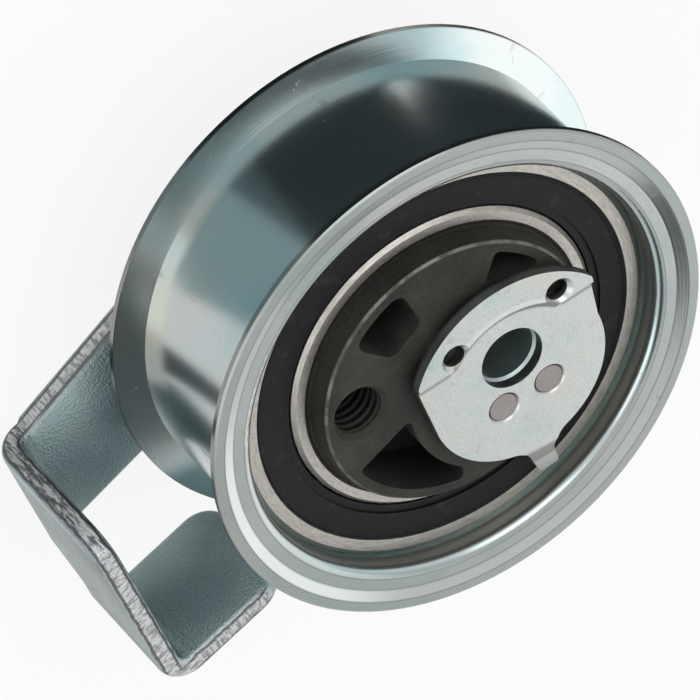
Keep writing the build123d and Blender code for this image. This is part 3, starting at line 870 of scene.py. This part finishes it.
class TENSIONER_OT_hub(bpy.types.Operator):
    """Finish the eccentric hub, its bush and the torsion spring"""

    bl_idname = "tensioner.hub"
    bl_label = "Finish hub"

    def execute(self, context):
        settings = context.scene.tensioner_finish
        give("eccentric_hub", phosphated_steel("hub_phosphated", settings))
        give("plain_bush", plain_metal("bush_bronze", BUSH_BRONZE, 0.4))
        wire = plain_metal("spring_oiled", SPRING_STEEL, 0.32)
        give("torsion_spring", wire)
        tree = bmesh.new()
        tree.from_mesh(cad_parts["torsion_spring"].data)
        spring = finish_piece(tree, "torsion_spring", "spring_wire", wire)
        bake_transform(spring)
        return {"FINISHED"}


class TENSIONER_OT_adjuster(bpy.types.Operator):
    """Finish the adjusting eccentric, its front plate, rivets and washers"""

    bl_idname = "tensioner.adjuster"
    bl_label = "Finish adjuster"

    def execute(self, context):
        settings = context.scene.tensioner_finish
        give("adjusting_plate", zinc_satin("front_plate_satin", settings))
        give("adjusting_eccentric", plain_metal("sleeve_plated", SLEEVE_ZINC, 0.4))
        rivet = plain_metal("rivet_bare", RIVET_STEEL, 0.45)
        washer = plain_metal("washer_polymer_dark", WASHER_POLYMER, 0.5, 0.0)
        for node in ("plate_rivet_1", "plate_rivet_2"):
            give(node, rivet)
        for node in ("thrust_washer_front", "thrust_washer_rear"):
            give(node, washer)
        return {"FINISHED"}


class TENSIONER_OT_bracket(bpy.types.Operator):
    """Finish the folded bracket in zinc plate"""

    bl_idname = "tensioner.bracket"
    bl_label = "Finish bracket"

    edge_round: bpy.props.FloatProperty(
        name="Edge round", description="Rounding of the blanked edges", default=0.0007, unit="LENGTH"
    )
    edge_limit: bpy.props.FloatProperty(
        name="Edge limit",
        description="The hook's edges are rounded up to this X",
        default=-0.02,
        unit="LENGTH",
    )

    def execute(self, context):
        zinc = zinc_sheet("bracket_zinc_sheet", context.scene.tensioner_finish)
        give("bracket", zinc)
        tree = bmesh.new()
        tree.from_mesh(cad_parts["bracket"].data)
        bmesh.ops.remove_doubles(tree, verts=tree.verts, dist=WELD)
        flat = math.radians(FLAT_FACES)
        bmesh.ops.dissolve_limit(tree, angle_limit=flat, verts=tree.verts, edges=tree.edges)
        folded = [e for e in tree.edges if e.is_manifold and max(v.co.x for v in e.verts) < self.edge_limit]
        rolled = [e for e in folded if e.calc_face_angle() > math.radians(SHARP_FOLD)]
        bmesh.ops.bevel(
            tree,
            geom=rolled,
            offset=self.edge_round,
            segments=3,
            profile=0.5,
            affect="EDGES",
            material=-1,
            clamp_overlap=False,
        )
        bmesh.ops.triangulate(tree, faces=tree.faces)
        piece = finish_piece(tree, "bracket", "bracket_rolled_edges", zinc)
        piece.data.polygons.foreach_set("use_smooth", [True] * len(piece.data.polygons))
        piece.data.set_sharp_from_angle(angle=math.radians(SHADING_BREAK))
        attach(piece, "bracket")
        return {"FINISHED"}


class TENSIONER_OT_stage(bpy.types.Operator):
    """Set the camera, the soft lights, the pale floor and the white background"""

    bl_idname = "tensioner.stage"
    bl_label = "Set stage"

    def execute(self, context):
        scene = context.scene
        settings = scene.tensioner_studio
        low, high = cad_box
        place_camera(scene)
        lay_floor(low.z - settings.floor_gap, settings.whiteness)
        lay_cards(low.z + CARD_LIFT)
        hang_lamps((low + high) / 2, settings.lamp_level)
        light_world(scene, settings.ambient)
        scene.view_settings.view_transform = "Standard"
        return {"FINISHED"}


class TENSIONER_PT_panel(bpy.types.Panel):
    """The steps that dress the tensioner"""

    bl_idname = "TENSIONER_PT_panel"
    bl_label = "Tensioner"
    bl_space_type = "VIEW_3D"
    bl_region_type = "UI"
    bl_category = "Tensioner"

    def draw(self, context):
        for step in STEPS:
            self.layout.operator(step.bl_idname)
        for group in (context.scene.tensioner_finish, context.scene.tensioner_studio):
            for key in group.__annotations__:
                self.layout.prop(group, key)


STEPS = (
    TENSIONER_OT_pulley,
    TENSIONER_OT_bearing,
    TENSIONER_OT_hub,
    TENSIONER_OT_adjuster,
    TENSIONER_OT_bracket,
    TENSIONER_OT_stage,
)
CLASSES = (FinishSettings, StudioSettings, *STEPS, TENSIONER_PT_panel)


def register():
    """Adds the classes and the scene's settings."""
    for cls in CLASSES:
        bpy.utils.register_class(cls)
    bpy.types.Scene.tensioner_finish = bpy.props.PointerProperty(type=FinishSettings)
    bpy.types.Scene.tensioner_studio = bpy.props.PointerProperty(type=StudioSettings)


def unregister():
    """Takes the classes and the settings away."""
    del bpy.types.Scene.tensioner_studio
    del bpy.types.Scene.tensioner_finish
    for cls in reversed(CLASSES):
        bpy.utils.unregister_class(cls)


def main():
    """Dresses the part."""
    register()
    bpy.ops.tensioner.pulley()
    bpy.ops.tensioner.bearing()
    bpy.ops.tensioner.hub()
    bpy.ops.tensioner.adjuster()
    bpy.ops.tensioner.bracket()
    bpy.ops.tensioner.stage()


if __name__ == "__main__":
    main()
